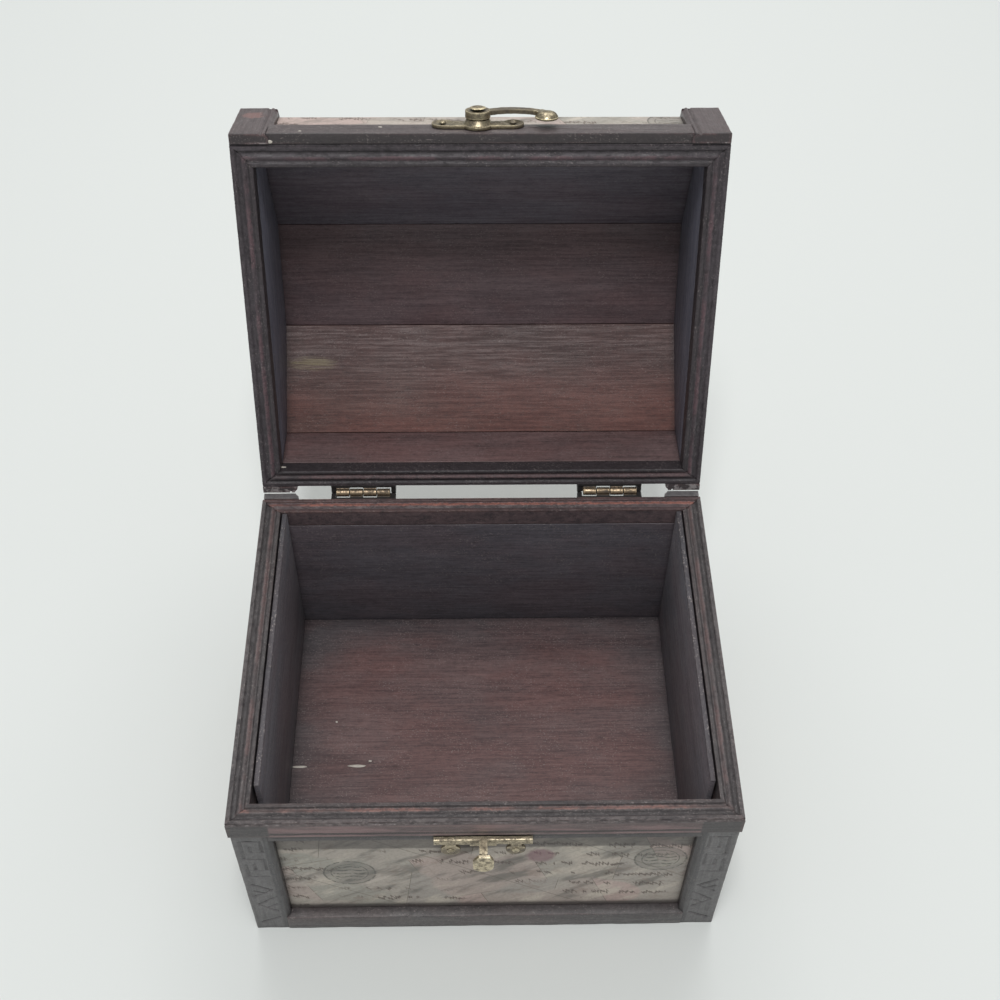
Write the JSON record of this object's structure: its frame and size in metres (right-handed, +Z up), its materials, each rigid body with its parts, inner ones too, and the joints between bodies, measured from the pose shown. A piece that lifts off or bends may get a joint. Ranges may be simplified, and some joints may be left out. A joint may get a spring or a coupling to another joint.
{
  "type": "domed jewelry box",
  "caption": "Small wooden jewelry box with a domed hinged lid, moulded rims, carved corner posts, printed paper panels, butt hinges and a hook latch.",
  "frame": {"origin": "middle of the front board's lower edge, on the surface the box stands on", "axes": "+Z up, -Y towards the front with the catch, +X to the right seen from the front; the lid is open at rest"},
  "size_m": [0.12, 0.1627, 0.1568],
  "materials": {
    "dark_trim": "dark stain, rubbed red-brown along the edges, satin",
    "stained_boards": "thin red-brown stain with the grain showing, matt",
    "antique_brass": "antiqued, bright on the high spots",
    "printed_paper": "matt printed paper, glued down and sealed"
  },
  "bodies": {
    "box": {"back_board": "stained_boards", "base_rail_back": "dark_trim", "base_rail_front": "dark_trim", "base_rail_left": "dark_trim", "base_rail_right": "dark_trim", "bottom_board": "stained_boards", "catch_nails": "antique_brass", "catch_plate": "antique_brass", "front_board": "dark_trim", "front_under_rail": "dark_trim", "hinge_body_leaf_left": "antique_brass", "hinge_body_leaf_right": "antique_brass", "hinge_body_nails": "antique_brass", "hinge_pins": "antique_brass", "left_board": "stained_boards", "liner_left": "stained_boards", "liner_right": "stained_boards", "paper_back": "printed_paper", "paper_front": "printed_paper", "paper_sides": "printed_paper", "post_back_left": "dark_trim", "post_back_right": "dark_trim", "post_front_left": "dark_trim", "post_front_right": "dark_trim", "right_board": "stained_boards", "rim_back": "dark_trim", "rim_front": "dark_trim", "rim_left": "dark_trim", "rim_right": "dark_trim", "side_posts_left": "dark_trim", "side_posts_right": "dark_trim"},
    "lid": {"hinge_lid_leaf_left": "antique_brass", "hinge_lid_leaf_right": "antique_brass", "hinge_lid_nails": "antique_brass", "latch_nails": "antique_brass", "latch_plate": "antique_brass", "latch_rivet": "antique_brass", "lid_arch_band_left": "dark_trim", "lid_arch_band_right": "dark_trim", "lid_back_board": "dark_trim", "lid_end_left": "dark_trim", "lid_end_right": "dark_trim", "lid_end_trim_left": "dark_trim", "lid_end_trim_right": "dark_trim", "lid_front_board": "dark_trim", "lid_front_rail": "dark_trim", "lid_paper": "printed_paper", "lid_paper_ends": "printed_paper", "lid_post_back_left": "dark_trim", "lid_post_back_right": "dark_trim", "lid_post_front_left": "dark_trim", "lid_post_front_right": "dark_trim", "lid_rim_back": "dark_trim", "lid_rim_front": "dark_trim", "lid_rim_left": "dark_trim", "lid_rim_right": "dark_trim", "lid_stave_back": "stained_boards", "lid_stave_front": "stained_boards", "lid_stave_top": "stained_boards"},
    "hook": {"latch_hook": "antique_brass"}
  },
  "joints": [
    {"name": "lid_hinge", "type": "hinge", "parent": "box", "child": "lid", "pos_m": [0, 0.09475, 0.05925], "axis": [1, 0, 0], "range_deg": [0, 108.78]},
    {"name": "hook_pivot", "type": "hinge", "parent": "lid", "child": "hook", "pos_m": [-0.0007, 0.13209, 0.1518], "axis": [0, 0.322, 0.9467], "range_deg": [-90, 90]}
  ]
}
